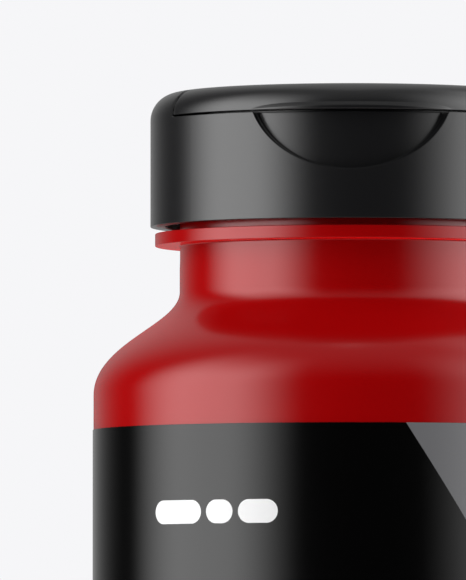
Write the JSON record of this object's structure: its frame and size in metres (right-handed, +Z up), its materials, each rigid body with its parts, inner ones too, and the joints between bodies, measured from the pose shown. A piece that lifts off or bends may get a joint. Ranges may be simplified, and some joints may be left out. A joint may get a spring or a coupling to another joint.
{
  "type": "paint bottle",
  "caption": "Round red squeeze bottle of paint with a black screw-on dispensing cap, a flip-up lid over a spout, a finger recess and a black wrap label.",
  "frame": {"origin": "centre of the base, on the plane the bottle stands on", "axes": "+Z up along the bottle's axis, -Y towards the side with the finger recess and the lid's lip, +X to the right seen from that side"},
  "size_m": [0.0534, 0.0534, 0.1401],
  "materials": {
    "bottle_plastic": "satin blow-moulded polyethylene, red right through",
    "label_film": "matt laminated film, printed black with a grey diagonal area",
    "paint": "wet acrylic paint",
    "liner_foam": "closed-cell polyethylene foam",
    "cap_plastic": "satin moulded polypropylene, black"
  },
  "bodies": {
    "bottle": {"bottle": "bottle_plastic", "wrap_label": "label_film", "paint_fill": "paint"},
    "liner": {"seal_liner": "liner_foam"},
    "closure": {"closure_base": "cap_plastic", "living_hinge": "cap_plastic"},
    "lid": {"flip_lid": "cap_plastic"}
  },
  "joints": [
    {"name": "cap_lift", "type": "slide", "parent": "bottle", "child": "liner", "axis": [0, 0, 1], "range_m": [0, 0.0127]},
    {"name": "cap_turn", "type": "hinge", "parent": "liner", "child": "closure", "pos_m": [0, 0, 0.1303], "axis": [0, 0, 1], "range_deg": [0, 1080]},
    {"name": "lid_flip", "type": "hinge", "parent": "closure", "child": "lid", "pos_m": [0, 0.005, 0.13963], "axis": [-1, 0, 0], "range_deg": [0, 125], "deforming": ["living_hinge"]}
  ],
  "couplings": [
    {"joint": "cap_lift", "follows": "cap_turn", "m_per_rad": 0.0006737}
  ]
}
